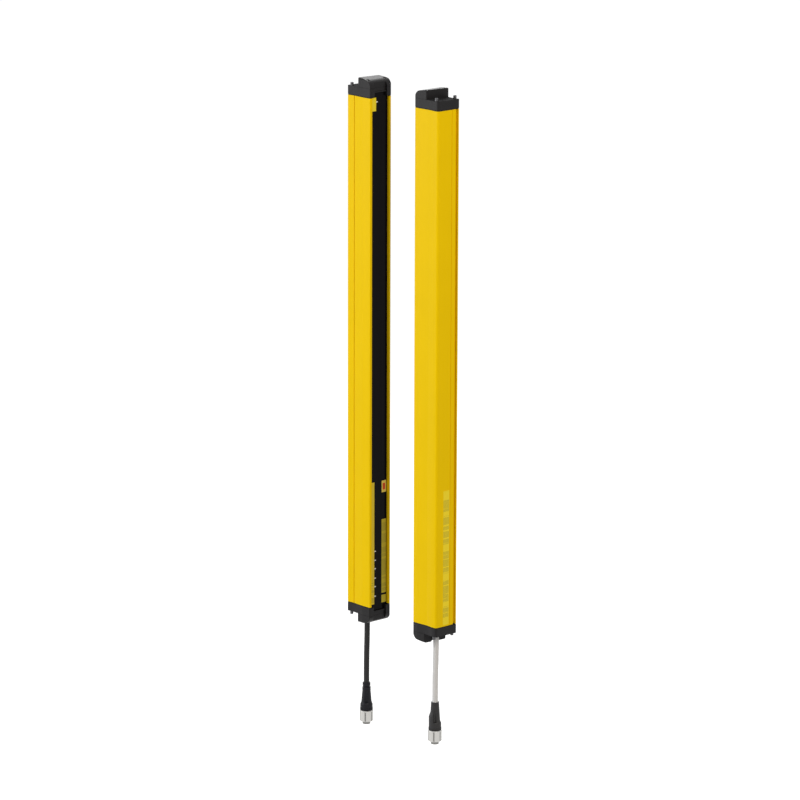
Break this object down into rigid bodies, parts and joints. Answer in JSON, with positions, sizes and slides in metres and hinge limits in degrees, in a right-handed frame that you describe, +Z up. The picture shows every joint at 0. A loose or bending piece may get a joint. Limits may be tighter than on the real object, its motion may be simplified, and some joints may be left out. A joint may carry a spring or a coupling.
{
  "type": "safety light curtain",
  "caption": "Pair of slim yellow light curtain bars facing each other, with black end caps, dark windows and short leads ending in round screw plugs.",
  "frame": {"origin": "middle of the receiver's back face, half way up the bar", "axes": "+X from the receiver towards the emitter along the beams, +Z up along the bars"},
  "size_m": [0.1714, 0.0366, 0.862],
  "materials": {
    "yellow_paint": "semi-gloss yellow powder coat",
    "window_acrylic": "glossy infrared-pass black",
    "black_cap": "fine-grained black moulding",
    "black_rubber": "matt",
    "blackened_steel": "blackened screw steel",
    "bright_steel": "spring steel",
    "clear_plastic": "clear moulding",
    "board_green": "solder mask",
    "chip_black": "moulded package",
    "lamp_white": "lamp package",
    "black_cable": "matt sheath",
    "grey_cable": "matt sheath",
    "plug_black": "moulded plug body",
    "nickel": "nickel plate",
    "gold_contact": "gold flash",
    "socket_cream": "moulded socket"
  },
  "bodies": {
    "bars": {"receiver_housing": "yellow_paint", "receiver_window": "window_acrylic", "receiver_window_seals": "black_rubber", "receiver_top_gasket": "black_rubber", "receiver_bottom_gasket": "black_rubber", "receiver_top_cap": "black_cap", "receiver_bottom_cap": "black_cap", "receiver_top_cap_screws": "blackened_steel", "receiver_bottom_cap_screws": "blackened_steel", "receiver_circuit_board": "board_green", "receiver_board_parts": "chip_black", "receiver_diodes": "lamp_white", "receiver_optics_carrier": "black_cap", "receiver_lens_strip": "clear_plastic", "receiver_indicator_leds": "lamp_white", "receiver_light_guide": "clear_plastic", "receiver_wire_socket": "socket_cream", "receiver_inner_lead": "black_cable", "receiver_earth_spring": "bright_steel", "receiver_cable_bush": "black_rubber", "receiver_cable": "black_cable", "receiver_connector_body": "plug_black", "receiver_connector_insert": "nickel", "receiver_contact_pins": "gold_contact", "receiver_sealing_ring": "black_rubber", "emitter_housing": "yellow_paint", "emitter_window": "window_acrylic", "emitter_window_seals": "black_rubber", "emitter_top_gasket": "black_rubber", "emitter_bottom_gasket": "black_rubber", "emitter_top_cap": "black_cap", "emitter_bottom_cap": "black_cap", "emitter_top_cap_screws": "blackened_steel", "emitter_bottom_cap_screws": "blackened_steel", "emitter_circuit_board": "board_green", "emitter_board_parts": "chip_black", "emitter_diodes": "lamp_white", "emitter_optics_carrier": "black_cap", "emitter_lens_strip": "clear_plastic", "emitter_indicator_leds": "lamp_white", "emitter_light_guide": "clear_plastic", "emitter_wire_socket": "socket_cream", "emitter_inner_lead": "black_cable", "emitter_earth_spring": "bright_steel", "emitter_cable_bush": "black_rubber", "emitter_cable": "grey_cable", "emitter_connector_body": "plug_black", "emitter_connector_insert": "nickel", "emitter_contact_pins": "gold_contact", "emitter_sealing_ring": "black_rubber"},
    "receiver_nut": {"receiver_coupling_nut": "nickel"},
    "emitter_nut": {"emitter_coupling_nut": "nickel"}
  },
  "joints": [
    {"name": "receiver_nut_spin", "type": "hinge", "parent": "bars", "child": "receiver_nut", "pos_m": [0.01836, -0.00064, -0.4909], "axis": [0, 0, 1], "continuous": true},
    {"name": "emitter_nut_spin", "type": "hinge", "parent": "bars", "child": "emitter_nut", "pos_m": [0.15176, -0.00064, -0.4869], "axis": [0, 0, 1], "continuous": true}
  ]
}
